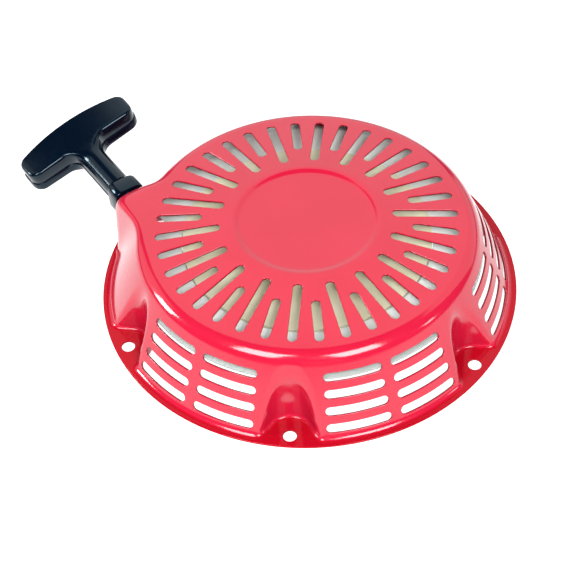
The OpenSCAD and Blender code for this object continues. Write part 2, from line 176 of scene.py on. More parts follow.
def fill(loops, loose=()):
    """Triangles between closed outlines, the first outermost, as indices into the points of all of them."""
    points = np.concatenate([np.asarray(loop) for loop in loops] + [np.asarray(p)[None] for p in loose])
    ties, first = [], 0
    for loop in loops:
        n = len(loop)
        ties += [(first + k, first + (k + 1) % n) for k in range(n)]
        first += n
    spots, _, tris, origins, _, _ = delaunay_2d_cdt([Vector(p) for p in points / MM], ties, [], 0, 1e-6)
    tris = np.array([[origins[i][0] for i in tri] for tri in tris])
    middles = points[tris].mean(1)
    keep = within(np.asarray(loops[0]), middles)
    for loop in loops[1:]:
        keep &= ~within(np.asarray(loop), middles)
    a, b, c = (points[tris[:, k]] for k in range(3))
    turn = (b - a)[:, 0] * (c - a)[:, 1] - (b - a)[:, 1] * (c - a)[:, 0]
    tris = np.where((turn < 0)[:, None], tris[:, ::-1], tris)
    return tris[keep & (np.abs(turn) > 1e-14)]


def add_mesh(name, points, faces, body, normals=None):
    """A smooth-shaded mesh piece that rides on a CAD body."""
    mesh = bpy.data.meshes.new(name)
    mesh.from_pydata([tuple(p) for p in points], [], [tuple(int(i) for i in f) for f in faces])
    mesh.polygons.foreach_set("use_smooth", [True] * len(mesh.polygons))
    mesh.update()
    if normals is not None:
        mesh.normals_split_custom_set_from_vertices([tuple(n) for n in normals])
    piece = bpy.data.objects.new(name, mesh)
    bpy.context.scene.collection.objects.link(piece)
    if body:
        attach(piece, body)
    return piece


def bands(count, n, wrap=False, flip=False):
    """Faces between neighbouring rings of n points each; wrap also joins the last ring to the first."""
    faces = []
    for i in range(count if wrap else count - 1):
        a, b = i * n, (i + 1) % count * n
        for k in range(n):
            j = (k + 1) % n
            faces.append((a + k, a + j, b + j, b + k) if flip else (a + k, b + k, b + j, a + j))
    return faces


def weld(piece):
    """Joins points that share a place."""
    bm = bmesh.new()
    bm.from_mesh(piece.data)
    bmesh.ops.remove_doubles(bm, verts=bm.verts[:], dist=0.001 * MM)
    bm.to_mesh(piece.data)
    bm.free()


# ------------------------------------------------------------------ pressed case
def wall_r(z):
    """Radius of the leaning wall at a height."""
    return WALL_FOOT_R - z * math.tan(WALL_LEAN)


def dome_z(r):
    """Height of the top plate at a radius."""
    return SHOULDER_Z + (SHOULDER_R - r) * math.tan(DOME_FALL)


def recess_gap(x, y):
    """Distance in plan to the nearest bolt recess; below zero inside one."""
    period = math.radians(PERIOD)
    angle = np.arctan2(y, x) - math.radians(HOLE_ANGLE)
    angle = angle - np.round(angle / period) * period
    r = np.hypot(x, y)
    px = r * np.cos(angle) - HOLE_RING_R
    py = np.abs(r * np.sin(angle))
    apex = RECESS_R / math.sin(RECESS_FLARE)
    flank = py * math.cos(RECESS_FLARE) - (px + apex) * math.sin(RECESS_FLARE)
    back = np.hypot(px, py) - RECESS_R
    return np.where(np.arctan2(py, px) > math.pi / 2 + RECESS_FLARE, back, flank)


def case_inside(x, y, z):
    """Below zero inside the case's outer shape, above zero outside it."""
    round_wall = np.hypot(x, y) - wall_r(z)
    rise = z / SHOULDER_Z
    side = (y - NOSE_SIDE_Y) * math.cos(NOSE_SIDE_TURN) + (x - OUTLET_X) * math.sin(NOSE_SIDE_TURN)
    side = side + NOSE_SIDE_DRAFT * rise
    face = x - OUTLET_X + NOSE_FACE_DRAFT * ease(rise, 0.7, 1.2)
    far = (NOSE_FAR_Y - y) * 0.7
    nose = smooth_max(smooth_max(side, face, NOSE_CORNER), far, NOSE_FAR_BLEND)
    nose = np.maximum(nose, NOSE_START_X - x)
    wall = smooth_min(round_wall, nose, NOSE_BLEND)
    return smooth_max(wall, -recess_gap(x, y), RIDGE)


def surface_at(inside, count):
    """For each of count places, how far out along its line inside(distance) stops being true."""
    low, high = np.full(count, 60 * MM), np.full(count, 116 * MM)
    for _ in range(34):
        middle = (low + high) / 2
        found = inside(middle)
        low, high = np.where(found, middle, low), np.where(found, high, middle)
    return (low + high) / 2


def outline_r(angles, z):
    """Radius of the case's outer shape at each angle, at height z."""
    c, s = np.cos(angles), np.sin(angles)
    return surface_at(lambda r: case_inside(r * c, r * s, z) < 0, len(angles))


def case_angles():
    """The mesh's columns in one turn, closer together where the wall folds into the bolt recesses."""
    fold = 9.7
    panel_middle = PERIOD / 2
    one = np.concatenate([
        np.linspace(-fold, fold, 48, endpoint=False),
        np.linspace(fold, panel_middle - SIDE_CELLS_FROM, 20, endpoint=False),
        [panel_middle - SIDE_CELLS_FROM],
        np.linspace(panel_middle + SIDE_CELLS_FROM, PERIOD - fold, 20, endpoint=False),
    ])
    return np.radians(np.concatenate([HOLE_ANGLE + PERIOD * i + one for i in range(HOLE_COUNT)]))


def bend_rings(start, corner, end, count, pull=0.8):
    """Rings that turn from start to end, rounding the corner ring between them."""
    rings = []
    for t in np.linspace(0, 1, count + 1)[1:-1]:
        a, b, c = (1 - t) ** 2, 2 * t * (1 - t) * pull, t * t
        rings.append((a * start + b * corner + c * end) / (a + b + c))
    return rings


def plan_out(ring):
    """Outward direction in plan along a closed ring of points."""
    flat = outward(ring[:, :2])
    return np.concatenate([flat, np.zeros((len(ring), 1))], 1)


def case_rings(angles):
    """Rings of the case's outer surface, from the middle of the disc out to the flange's rim,
    and the places in the list where slots and holes go."""
    c, s = np.cos(angles), np.sin(angles)
    marks = {}

    def circle(r, z):
        return np.stack([r * c, r * s, np.full_like(c, z)], 1)

    def at_level(z):
        z = z + np.zeros_like(c)
        r = outline_r(angles, z)
        return np.stack([r * c, r * s, z], 1)

    def on_dome(ring):
        return np.stack([ring[:, 0], ring[:, 1], dome_z(np.hypot(ring[:, 0], ring[:, 1]))], 1)

    disc_z = dome_z(DISC_R) - DISC_DEPTH
    rings = [circle(r * MM, disc_z) for r in (1.5, 8, 16, 24, 30)]
    for r in np.linspace(DISC_R - DISC_STEP, DISC_R, 11):
        rise = ease(r, DISC_R - DISC_STEP, DISC_R)
        rings.append(circle(r, disc_z + (dome_z(r) - disc_z) * rise))

    margin = 2.3 * MM
    inner, middle, outer = LONG_SLOT_IN - margin, SHORT_SLOT_IN - margin, TOP_SLOT_OUT + margin
    marks["top_in"] = len(rings)
    rings += [on_dome(circle(r, 0)) for r in np.linspace(inner, middle, 4)]
    marks["top_mid"] = len(rings) - 1
    rings += [on_dome(circle(r, 0)) for r in np.linspace(middle, outer, 9)[1:]]
    marks["top_out"] = len(rings) - 1

    edge_z = np.full_like(c, SHOULDER_Z)
    for _ in range(8):
        edge_r = outline_r(angles, edge_z)
        edge_z = dome_z(edge_r)
    corner = np.stack([edge_r * c, edge_r * s, edge_z], 1)
    reach = np.interp(np.degrees(angles) % 360, CREASE_ANGLES, CREASE_REACH, period=360)
    reach = sum(np.roll(reach, k) for k in range(-3, 4)) / 7
    dome_edge = on_dome(corner - plan_out(corner) * reach[:, None])
    wall_top = at_level(edge_z - reach * math.cos(WALL_LEAN))
    last = rings[-1]
    rings += [on_dome(last + (dome_edge - last) * t) for t in (0.25, 0.5, 0.75)] + [dome_edge]
    rings += bend_rings(dome_edge, corner, wall_top, 9) + [wall_top]

    cell_half = 3.1 * MM
    cells = 4
    top_z, row_z = wall_top[:, 2], SIDE_ROWS[-1] + cell_half
    rings += [at_level(top_z + (row_z - top_z) * t) for t in (1 / 3, 2 / 3)]
    marks["rows"] = []
    for z in reversed(SIDE_ROWS):
        marks["rows"].append((len(rings), len(rings) + cells))
        rings += [at_level(z + cell_half - 2 * cell_half * k / cells) for k in range(cells + 1)]
    foot_start = rings[-1]
    foot_corner = at_level(SHEET)
    length = np.linalg.norm(foot_corner - foot_start, axis=1)
    rim_r = FLANGE_R - RIM_LIP
    room = rim_r - 0.4 * MM - np.hypot(foot_corner[:, 0], foot_corner[:, 1])
    flat = foot_corner + plan_out(foot_corner) * np.minimum(length, room)[:, None]
    rings += bend_rings(foot_start, foot_corner, flat, 7) + [flat]
    marks["floor"] = len(rings) - 1
    rim = circle(rim_r, SHEET)
    rings += [flat + (rim - flat) * t for t in (0.1, 0.25, 0.42, 0.6, 0.78, 0.9)] + [rim]
    return np.array(rings), marks


def ring_normals(rings):
    """Outward normals of a grid of rings, from the differences between neighbours."""
    around = np.roll(rings, -1, 1) - np.roll(rings, 1, 1)
    out = np.empty_like(rings)
    out[1:-1] = unit(rings[2:] - rings[1:-1]) + unit(rings[1:-1] - rings[:-2])
    normals = np.empty_like(rings)
    normals[1:-1] = unit(np.cross(out[1:-1], around[1:-1]))
    normals[0] = normals[-1] = (0, 0, 1)
    return normals


class Sheet:
    """Pressed sheet metal: a grid of rings, the same grid one sheet below, and cut-outs with round edges."""

    def __init__(self, rings):
        self.rows, self.cols = rings.shape[:2]
        normals = ring_normals(rings)
        self.rings = rings
        self.points = list(rings.reshape(-1, 3)) + list((rings - normals * SHEET).reshape(-1, 3))
        self.normals = list(normals.reshape(-1, 3)) + list(-normals.reshape(-1, 3))
        self.under = self.rows * self.cols
        self.kept = np.ones((self.rows - 1, self.cols), bool)
        self.faces = []
        self.cut_faces = []

    def index(self, row, col):
        """Where a place in the grid stands in the list of points."""
        return row * self.cols + col % self.cols

    def add(self, points, normals):
        """Adds points and gives their places in the list."""
        first = len(self.points)
        self.points += list(points)
        self.normals += list(normals)
        return list(range(first, first + len(points)))

    def bridge(self, a, b):
        """A band of faces between two closed loops, a above b or outside it."""
        for k in range(len(a)):
            j = (k + 1) % len(a)
            self.faces.append((a[k], b[k], b[j], a[j]))

    def cut(self, rows, cols, flatten, lift, outline):
        """Opens a block of cells and fills it up to an outline. flatten gives the place of 3-D points in
        the outline's plane, and lift the 3-D places and normals of points of the plane."""
        (r0, r1), (c0, c1) = rows, cols
        for col in range(c0, c1):
            self.kept[r0:r1, col % self.cols] = False
        loop = [self.index(r1, c) for c in range(c0, c1)]
        loop += [self.index(r, c1) for r in range(r1, r0, -1)]
        loop += [self.index(r0, c) for c in range(c1, c0, -1)]
        loop += [self.index(r, c0) for r in range(r0, r1)]
        border = flatten(np.array([self.points[i] for i in loop]))
        away = outward(outline)
        spot, normal = lift(outline)
        aside = unit(lift(outline + away * EDGE)[0] - spot)
        turns = np.radians([0, 30, 60, 90])
        profile = [(EDGE * (1 - math.sin(t)), EDGE * (1 - math.cos(t)), t) for t in turns]
        profile += [(gap, SHEET - deep, math.pi - t) for gap, deep, t in reversed(profile)]
        edges = []
        for gap, deep, t in profile:
            place, up = lift(outline + away * gap)
            edges.append(self.add(place - up * deep, unit(math.cos(t) * normal - math.sin(t) * aside)))
        for upper, lower in zip(edges[:-1], edges[1:]):
            self.bridge(lower, upper)
        # painted shade: all but the top bands of each cut edge are marked to be painted dark
        lit_bands = 2
        shaded_faces = (len(edges) - 1 - lit_bands) * len(outline)
        self.cut_faces += range(len(self.faces) - shaded_faces, len(self.faces))
        outer = list(loop) + list(edges[0])
        inner = [i + self.under for i in loop] + list(edges[-1])
        for tri in fill([border, outline + away * EDGE]):
            self.faces.append([outer[i] for i in tri])
            self.faces.append([inner[i] for i in reversed(tri)])

    def finish(self, name, body):
        """Closes the middle and the rim, makes the mesh and marks its cut edges for their painted shade."""
        row, col = np.nonzero(self.kept)
        nxt = (col + 1) % self.cols
        quads = np.stack([row * self.cols + col, (row + 1) * self.cols + col,
                          (row + 1) * self.cols + nxt, row * self.cols + nxt], 1)
        self.faces += quads.tolist() + (quads[:, ::-1] + self.under).tolist()
        middle = self.rings[0].mean(0)
        top = self.add([middle], [(0, 0, 1)])
        low = self.add([middle - np.array([0, 0, SHEET])], [(0, 0, -1)])
        for k in range(self.cols):
            a, b = self.index(0, k), self.index(0, k + 1)
            self.faces.append((top[0], a, b))
            self.faces.append((low[0], b + self.under, a + self.under))
        rim = self.rings[-1]
        out = unit(rim * np.array([1, 1, 0]))
        upright = np.array([0, 0, 1])
        loops = [[self.index(self.rows - 1, k) for k in range(self.cols)]]
        lip = SHEET / 2
        for turn in np.radians([0, 30, 60, 90, 120, 150, 180]):
            spot = rim + out * (RIM_LIP - lip + lip * math.sin(turn)) + upright * lip * (math.cos(turn) - 1)
            loops.append(self.add(spot, out * math.sin(turn) + upright * math.cos(turn)))
        loops.append([i + self.under for i in loops[0]])
        for upper, lower in zip(loops[:-1], loops[1:]):
            self.bridge(upper, lower)
        used = sorted({i for f in self.faces for i in f})
        place = {old: new for new, old in enumerate(used)}
        faces = [[place[i] for i in f] for f in self.faces]
        piece = add_mesh(name, [self.points[i] for i in used], faces, body, [self.normals[i] for i in used])
        cut = piece.data.attributes.new("cut_edge_shade", "FLOAT", "FACE")
        for i in self.cut_faces:
            cut.data[i].value = 1.0
        return piece


def slot_outline(low, high, half, steps=8):
    """A slot along x with round ends."""
    right = arc((high - half, 0), half, -90, 90, steps)
    left = arc((low + half, 0), half, 90, 270, steps)
    return np.concatenate([right, left])


def turned(points, angle):
    """Points turned in plan, by an angle in radians."""
    c, s = math.cos(angle), math.sin(angle)
    out = points.copy()
    out[..., 0] = points[..., 0] * c - points[..., 1] * s
    out[..., 1] = points[..., 0] * s + points[..., 1] * c
    return out


def columns_round(angles, middle, reach):
    """First and last column at least reach degrees to either side of the middle, in degrees."""
    degrees = np.degrees(angles)
    rel = (degrees - middle + 180) % 360 - 180
    below = np.where(rel <= -reach + 1e-6, rel, -999)
    above = np.where(rel >= reach - 1e-6, rel, 999)
    first, last = int(np.argmax(below)), int(np.argmin(above))
    return (first, last if last > first else last + len(angles))


def cut_top_slots(sheet, angles, marks):
    """The radial slots, long and short in turn."""
    reach = 3.7
    for i in range(TOP_SLOT_COUNT):
        middle = i * 360.0 / TOP_SLOT_COUNT
        long_one = i % 2 == 0
        turn = math.radians(middle)

        def flatten(p):
            return turned(p, -turn)[:, :2]

        def lift(q):
            r = np.hypot(q[:, 0], q[:, 1])
            p = turned(np.column_stack([q, dome_z(r)]), turn)
            radial = p[:, :2] / r[:, None]
            up = np.column_stack([radial * math.sin(DOME_FALL), np.full(len(q), math.cos(DOME_FALL))])
            return p, up

        rows = (marks["top_in"] if long_one else marks["top_mid"], marks["top_out"])
        outline = slot_outline(LONG_SLOT_IN if long_one else SHORT_SLOT_IN, TOP_SLOT_OUT, TOP_SLOT_HALF)
        sheet.cut(rows, columns_round(angles, middle, reach), flatten, lift, outline)


def cut_side_slots(sheet, angles, marks):
    """Two columns of slots in each panel of the wall but the first, which holds the nose."""
    middle = (SIDE_SLOT_FROM + SIDE_SLOT_TO) / 2
    reach = middle - SIDE_CELLS_FROM
    for panel_at in range(1, HOLE_COUNT):
        for side in (-1, 1):
            centre = HOLE_ANGLE + (panel_at + 0.5) * PERIOD + side * middle
            cols = columns_round(angles, centre, reach)
            for rows, z in zip(marks["rows"], reversed(SIDE_ROWS)):
                cut_side_slot(sheet, rows, cols, math.radians(centre), z)


def cut_side_slot(sheet, rows, cols, turn, z):
    """One slot along the wall, about an angle in radians and a height."""
    r = wall_r(z)
    reach = r * math.radians(SIDE_SLOT_TO - SIDE_SLOT_FROM) / 2

    def flatten(p):
        angle = (np.arctan2(p[:, 1], p[:, 0]) - turn + math.pi) % (2 * math.pi) - math.pi
        return np.column_stack([angle * r, (p[:, 2] - z) / math.cos(WALL_LEAN)])

    def lift(q):
        level = z + q[:, 1] * math.cos(WALL_LEAN)
        angle = turn + q[:, 0] / r
        c, s = np.cos(angle), np.sin(angle)
        lean = math.cos(WALL_LEAN)
        up = np.column_stack([c * lean, s * lean, np.full(len(q), math.sin(WALL_LEAN))])
        return np.column_stack([wall_r(level) * c, wall_r(level) * s, level]), up

    straight = np.linspace(-reach + SIDE_SLOT_HALF, reach - SIDE_SLOT_HALF, 12)[1:-1]
    ends = slot_outline(-reach, reach, SIDE_SLOT_HALF)
    half = len(ends) // 2
    upper = np.column_stack([straight[::-1], np.full(len(straight), SIDE_SLOT_HALF)])
    lower = np.column_stack([straight, np.full(len(straight), -SIDE_SLOT_HALF)])
    outline = np.concatenate([ends[:half], upper, ends[half:], lower])
    sheet.cut(rows, cols, flatten, lift, outline)


def cut_flange_holes(sheet, angles, marks):
    """The bolt holes, each cut from a block of the flange's cells."""
    reach = 2.3
    rows = (marks["floor"] + 2, marks["floor"] + 6)
    for i in range(HOLE_COUNT):
        turn = math.radians(HOLE_ANGLE + i * PERIOD)

        def flatten(p):
            return turned(p, -turn)[:, :2]

        def lift(q):
            p = turned(np.column_stack([q, np.full(len(q), SHEET)]), turn)
            return p, np.tile([0.0, 0.0, 1.0], (len(q), 1))

        outline = arc((HOLE_RING_R, 0), HOLE_R, 0, 360, 32)[:-1]
        sheet.cut(rows, columns_round(angles, math.degrees(turn), reach), flatten, lift, outline)


def cut_outlet(sheet, angles):
    """The hole in the nose that the rope guide sits in."""
    def flatten(p):
        return p[:, 1:] - np.array([ROPE_Y, ROPE_Z])

    def face_x(y, z):
        return surface_at(lambda x: case_inside(x, y, z) < 0, len(y))

    def lift(q):
        y, z = q[:, 0] + ROPE_Y, q[:, 1] + ROPE_Z
        step = 0.2 * MM
        slope_y = (face_x(y + step, z) - face_x(y - step, z)) / (2 * step)
        slope_z = (face_x(y, z + step) - face_x(y, z - step)) / (2 * step)
        up = unit(np.column_stack([np.ones(len(q)), -slope_y, -slope_z]))
        return np.column_stack([face_x(y, z), y, z]), up

    reach = OUTLET_HOLE_R + 0.5 * MM
    cols = columns_round(angles, math.degrees(math.atan2(ROPE_Y, OUTLET_X)),
                         math.degrees(reach / math.hypot(ROPE_Y, OUTLET_X)) + 0.6)
    heights = sheet.rings[:, cols[0]:cols[1] + 1, 2]
    above = int(np.nonzero(heights.min(1) >= ROPE_Z + reach)[0][-1])
    below = int(np.nonzero(heights.max(1) <= ROPE_Z - reach)[0][0])
    outline = arc((0, 0), OUTLET_HOLE_R, 0, 360, 36)[:-1]
    sheet.cut((above, below), cols, flatten, lift, outline)


def build_case():
    """The pressed case with all its openings."""
    angles = case_angles()
    rings, marks = case_rings(angles)
    sheet = Sheet(rings)
    cut_top_slots(sheet, angles, marks)
    cut_side_slots(sheet, angles, marks)
    cut_flange_holes(sheet, angles, marks)
    cut_outlet(sheet, angles)
    return sheet.finish("case_shell", "case")


# ------------------------------------------------------------------ grip, rope guide and rope
GRIP_X = 129.0 * MM
GRIP_HALF_LEN = 34.1 * MM
GRIP_OUTER_HALF_LEN = 34.0 * MM
GRIP_DEPTH = grip_high.x - GRIP_X
GRIP_BOW = 5.5 * MM
GRIP_ROLL = math.radians(-13.0)
BAR_HALF_H = 7.2 * MM
STEM_HALF_H = 6.2 * MM
STEM_HALF_W = 7.3 * MM
STEM_START = grip_low.x
GRIP_FLARE = 7.1 * MM
CASE_CORNER = 5.6 * MM
OUTER_CORNER = 5.7 * MM
BAR_ROUND = 1.7 * MM
STEM_ROUND = 5.6 * MM
UNDER_ROUND = 4.0 * MM
GRIP_CROWN = 0.9 * MM
LEDGE = 0.45 * MM
LEDGE_Z = -1.2 * MM
ROPE_HOLE_R = 2.9 * MM
POCKET_R = 6.2 * MM
POCKET_X = insert_low.x


def corner_arc(a, b, c, r, steps):
    """The arc of radius r that rounds the corner at b on the way from a to c."""
    u, v = unit(a - b), unit(c - b)
    half = math.acos(float(np.dot(u, v))) / 2
    centre = b + unit(u + v) * r / math.sin(half)
    start = b + u * r / math.tan(half) - centre
    end = b + v * r / math.tan(half) - centre
    first = math.degrees(math.atan2(start[1], start[0]))
    turn = (math.degrees(math.atan2(end[1], end[0])) - first + 180) % 360 - 180
    return arc(centre, r, first, first + turn, steps)


def rounded(points, radii, steps=8):
    """An outline with each corner rounded by its own radius; zero keeps the point."""
    points = [np.array(p, float) for p in points]
    n = len(points)
    parts = []
    for i, r in enumerate(radii):
        if r:
            parts.append(corner_arc(points[i - 1], points[i], points[(i + 1) % n], r, steps))
        else:
            parts.append(points[i][None])
    return np.concatenate(parts)


def spaced(outline, step):
    """A closed outline with points added so that none are further apart than step."""
    parts = []
    for a, b in zip(outline, np.roll(outline, -1, 0)):
        count = max(1, int(np.ceil(np.linalg.norm(b - a) / step)))
        parts.append(a + (b - a) * np.arange(count)[:, None] / count)
    return np.concatenate(parts)


def grip_outline():
    """Plan of the T; x runs along the rope from the bar's case side, y along the bar.

    The stem runs on past its end and is trimmed later.
    """
    overrun = 8 * MM
    stem_x = STEM_START - GRIP_X - overrun
    outer = GRIP_DEPTH - LEDGE
    corner_x = outer - GRIP_BOW
    bow_r = (GRIP_OUTER_HALF_LEN ** 2 + GRIP_BOW ** 2) / (2 * GRIP_BOW)
    span = math.degrees(math.asin(GRIP_OUTER_HALF_LEN / bow_r))
    bow = arc((outer - bow_r, 0), bow_r, -span, span, 12)[1:-1]
    w = STEM_HALF_W - LEDGE
    half = GRIP_HALF_LEN - LEDGE
    points = [(stem_x, -w), (LEDGE, -w), (LEDGE, -half), (corner_x, -GRIP_OUTER_HALF_LEN), *bow,
              (corner_x, GRIP_OUTER_HALF_LEN), (LEDGE, half), (LEDGE, w), (stem_x, w)]
    corners = [0, GRIP_FLARE, CASE_CORNER, OUTER_CORNER]
    radii = corners + [0] * len(bow) + corners[::-1]
    return spaced(rounded(points, radii), 2.5 * MM)


def half_height(x, y):
    """Half the grip's height: the stem is lower than the bar, and the bar falls a little to its ends."""
    rise = STEM_HALF_H + (BAR_HALF_H - STEM_HALF_H) * ease(x, -11 * MM, 1 * MM)
    return rise - GRIP_CROWN * (y / GRIP_HALF_LEN) ** 2 * ease(x, -6 * MM, 4 * MM)


def grip_rings(outline):
    """Rings of the grip from its top face down over the ledge to its underside, as x, y, z."""
    away = outward(outline)
    end = outline[:, 0] < outline[:, 0].min() + 0.01 * MM
    away[end] = np.column_stack([np.zeros(end.sum()), outline[end, 1] / outline[end, 1].max()])
    round_r = STEM_ROUND + (BAR_ROUND - STEM_ROUND) * ease(outline[:, 0], -9 * MM, -1 * MM)
    under_r = np.minimum(round_r, UNDER_ROUND)
    rings = []

    def ring(inset, height):
        flat = outline - away * np.broadcast_to(inset, len(outline))[:, None]
        rings.append(np.column_stack([flat, height(half_height(flat[:, 0], flat[:, 1]))]))

    for turn in np.radians(np.linspace(90, 0, 8)):
        ring(round_r * (1 - math.cos(turn)), lambda h: h - round_r * (1 - math.sin(turn)))
    ledge = [(0, 0.45 * MM), (0.1 * MM, 0.15 * MM), (-LEDGE * 0.7, 0), (-LEDGE, -0.35 * MM)]
    for inset, rise in ledge:
        ring(inset, lambda h: np.full_like(h, LEDGE_Z + rise))
    for turn in np.radians(np.linspace(0, 90, 8)):
        ring(under_r * (1 - math.cos(turn)) - LEDGE, lambda h: -h + under_r * (1 - math.sin(turn)))
    return rings


def grip_face(ring, side):
    """A crowned face inside a ring of the grip, side 1 above and -1 below: loose points and triangles."""
    step = 2.0 * MM
    margin = 0.6 * MM
    flat = ring[:, :2]
    xs = np.arange(flat[:, 0].min(), flat[:, 0].max(), step)
    ys = np.arange(flat[:, 1].min(), flat[:, 1].max(), step)
    grid = np.stack(np.meshgrid(xs, ys), -1).reshape(-1, 2)
    grid = grid[within(flat - outward(flat) * margin, grid)]
    tris = fill([flat], grid)
    loose = [(x, y, side * half_height(x, y)) for x, y in grid]
    return loose, tris if side > 0 else tris[:, ::-1]


def build_grip():
    """The T-shaped grip with the rope's bore and the knot's pocket."""
    outline = grip_outline()
    rings = grip_rings(outline)
    n = len(outline)
    points = [p for ring in rings for p in ring]
    faces = bands(len(rings), n)
    for row, side in ((0, 1), (len(rings) - 1, -1)):
        loose, tris = grip_face(rings[row], side)
        names = list(range(row * n, row * n + n)) + list(range(len(points), len(points) + len(loose)))
        points += loose
        faces += [[names[i] for i in tri] for tri in tris]
    roll = Matrix.Translation((GRIP_X, ROPE_Y, ROPE_Z)) @ Matrix.Rotation(GRIP_ROLL, 4, "X")
    piece = add_mesh("pull_grip", [roll @ Vector(p) for p in points], faces, None)
    trim_stem(piece)
    mouth_r = POCKET_R + 1.6 * MM
    bore = lathe("bore", [
        (STEM_START - 20 * MM, ROPE_HOLE_R), (POCKET_X - 1 * MM, ROPE_HOLE_R),
        (POCKET_X, ROPE_HOLE_R + 0.6 * MM), (POCKET_X, POCKET_R),
        (grip_high.x - 1.2 * MM, POCKET_R),
        (grip_high.x + 0.8 * MM, mouth_r), (grip_high.x + 9 * MM, mouth_r),
    ])
    subtract(piece, bore)
    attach(piece, "handle")
    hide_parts("grip")
    return piece


def trim_stem(piece):
    """Cuts the stem off square at its end."""
    bm = bmesh.new()
    bm.from_mesh(piece.data)
    everything = bm.verts[:] + bm.edges[:] + bm.faces[:]
    bmesh.ops.bisect_plane(bm, geom=everything, plane_co=(STEM_START, 0, 0), plane_no=(-1, 0, 0),
                           clear_outer=True)
    open_edges = [e for e in bm.edges if e.is_boundary]
    bmesh.ops.holes_fill(bm, edges=open_edges, sides=0)
    bm.to_mesh(piece.data)
    bm.free()


def lathe(name, profile, sides=48):
    """A solid turned about the rope's line from (x, radius) pairs, closed at both ends."""
    turn = np.linspace(0, 2 * math.pi, sides, endpoint=False)
    c, s = np.cos(turn), np.sin(turn)
    rings = [np.stack([np.full(sides, x), ROPE_Y + r * c, ROPE_Z + r * s], 1) for x, r in profile]
    faces = bands(len(rings), sides, flip=True)
    faces.append(list(range(sides))[::-1])
    faces.append([(len(rings) - 1) * sides + k for k in range(sides)])
    return add_mesh(name, np.concatenate(rings), faces, None)


def subtract(piece, cutter):
    """Cuts one mesh out of another and keeps edges sharper than 40 degrees crisp."""
    cut = piece.modifiers.new("cut", "BOOLEAN")
    cut.operation = "DIFFERENCE"
    cut.object = cutter
    cut.solver = "EXACT"
    bpy.context.view_layer.update()
    shaped = bpy.data.meshes.new_from_object(piece.evaluated_get(bpy.context.evaluated_depsgraph_get()))
    piece.modifiers.clear()
    piece.data = shaped
    bpy.data.objects.remove(cutter)
    shaped.polygons.foreach_set("use_smooth", [True] * len(shaped.polygons))
    shaped.set_sharp_from_angle(angle=math.radians(40))


def rounded_square(half, corner, steps=8):
    """A square about the rope's line with rounded corners, always of the same number of points."""
    c = half - corner
    corners = [(c, c, 0), (-c, c, 90), (-c, -c, 180), (c, -c, 270)]
    return np.concatenate([arc((x, y), corner, a, a + 90, steps) for x, y, a in corners])


def build_rope_guide():
    """The black block that the rope comes out of: square outside, with a round spigot and inner flange."""
    front, back, wall = guide_high.x, guide_low.x, OUTLET_X
    half, slim, corner = 8.4 * MM, 6.4 * MM, 4.0 * MM
    spigot_r, inner_r, bore = 6.5 * MM, 7.9 * MM, 3.0 * MM
    flange_in = back + 2.4 * MM
    # x, half the width and the corner's radius; where the last two are the same, the section is round
    profile = [
        (front - 0.6 * MM, bore, bore), (front - 0.2 * MM, bore + 0.2 * MM, bore + 0.2 * MM),
        (front, bore + 0.8 * MM, bore + 0.8 * MM), (front, slim - 0.7 * MM, corner - 1.0 * MM),
        (front - 0.2 * MM, slim - 0.15 * MM, corner - 0.8 * MM),
        (front - 0.7 * MM, slim + 0.35 * MM, corner - 0.6 * MM),
        (front - 2.3 * MM, half - 0.6 * MM, corner - 0.2 * MM),
        (front - 2.9 * MM, half - 0.15 * MM, corner), (front - 3.6 * MM, half, corner),
        (wall + 0.5 * MM, half, corner),
        (wall + 0.15 * MM, half - 0.15 * MM, corner), (wall + 0.05 * MM, half - 0.5 * MM, corner),
        (wall + 0.05 * MM, spigot_r, spigot_r), (flange_in, spigot_r, spigot_r),
        (flange_in, inner_r, inner_r), (back, inner_r, inner_r),
        (back, bore + 0.6 * MM, bore + 0.6 * MM), (back + 0.6 * MM, bore, bore),
    ]
    rings = []
    for x, size, corner_r in profile:
        flat = rounded_square(size, corner_r)
        rings.append(np.column_stack([np.full(len(flat), x), flat[:, 0] + ROPE_Y, flat[:, 1] + ROPE_Z]))
    faces = bands(len(rings), len(rings[0]), wrap=True)
    piece = add_mesh("rope_outlet", np.concatenate(rings), faces, "case")
    weld(piece)
    piece.data.set_sharp_from_angle(angle=math.radians(40))
    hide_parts("rope_guide")
    return piece


def build_rope_lead():
    """The straight rope from the reel to the knot in the grip."""
    xs = np.append(np.arange(lead_low.x, lead_high.x, 0.5 * MM), lead_high.x)
    piece = lathe("pull_rope", [(x, ROPE_R) for x in xs], sides=20)
    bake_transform(piece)
    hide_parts("rope_lead")
    return piece


